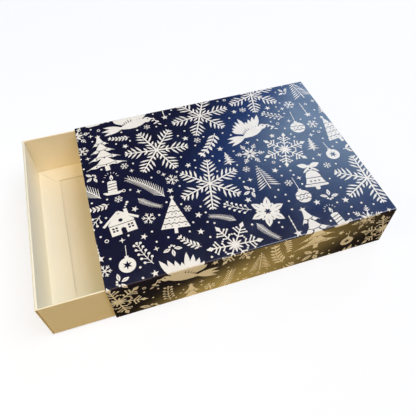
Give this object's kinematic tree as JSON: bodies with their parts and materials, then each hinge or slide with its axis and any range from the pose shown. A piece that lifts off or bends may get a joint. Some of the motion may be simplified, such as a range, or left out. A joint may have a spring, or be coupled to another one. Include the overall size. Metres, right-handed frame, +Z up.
{
  "type": "candle box",
  "caption": "Slide box for candles, folded from card: a printed sleeve open at both ends and a double-walled tray that slides through it, standing partly drawn out.",
  "frame": {"origin": "middle of the sleeve's underside, the face that the box stands on", "axes": "+X along the slide, towards the sleeve's free mouth, +Y across the box, towards the glued seam at the back, +Z up"},
  "size_m": [0.193, 0.121, 0.0315],
  "materials": {
    "printed_sleeve_card": "solid bleached board, navy offset print with ivory motifs under a satin gloss laminate, white inside",
    "seam_glue": "dried white glue",
    "pearl_tray_card": "solid board, champagne pearlescent on both faces"
  },
  "bodies": {
    "sleeve": {"sleeve_card": "printed_sleeve_card", "sleeve_seam_glue": "seam_glue"},
    "tray": {"tray_card": "pearl_tray_card"}
  },
  "joints": [
    {"name": "tray_slide", "type": "slide", "parent": "sleeve", "child": "tray", "axis": [1, 0, 0], "range_m": [-0.128, 0.195]}
  ]
}
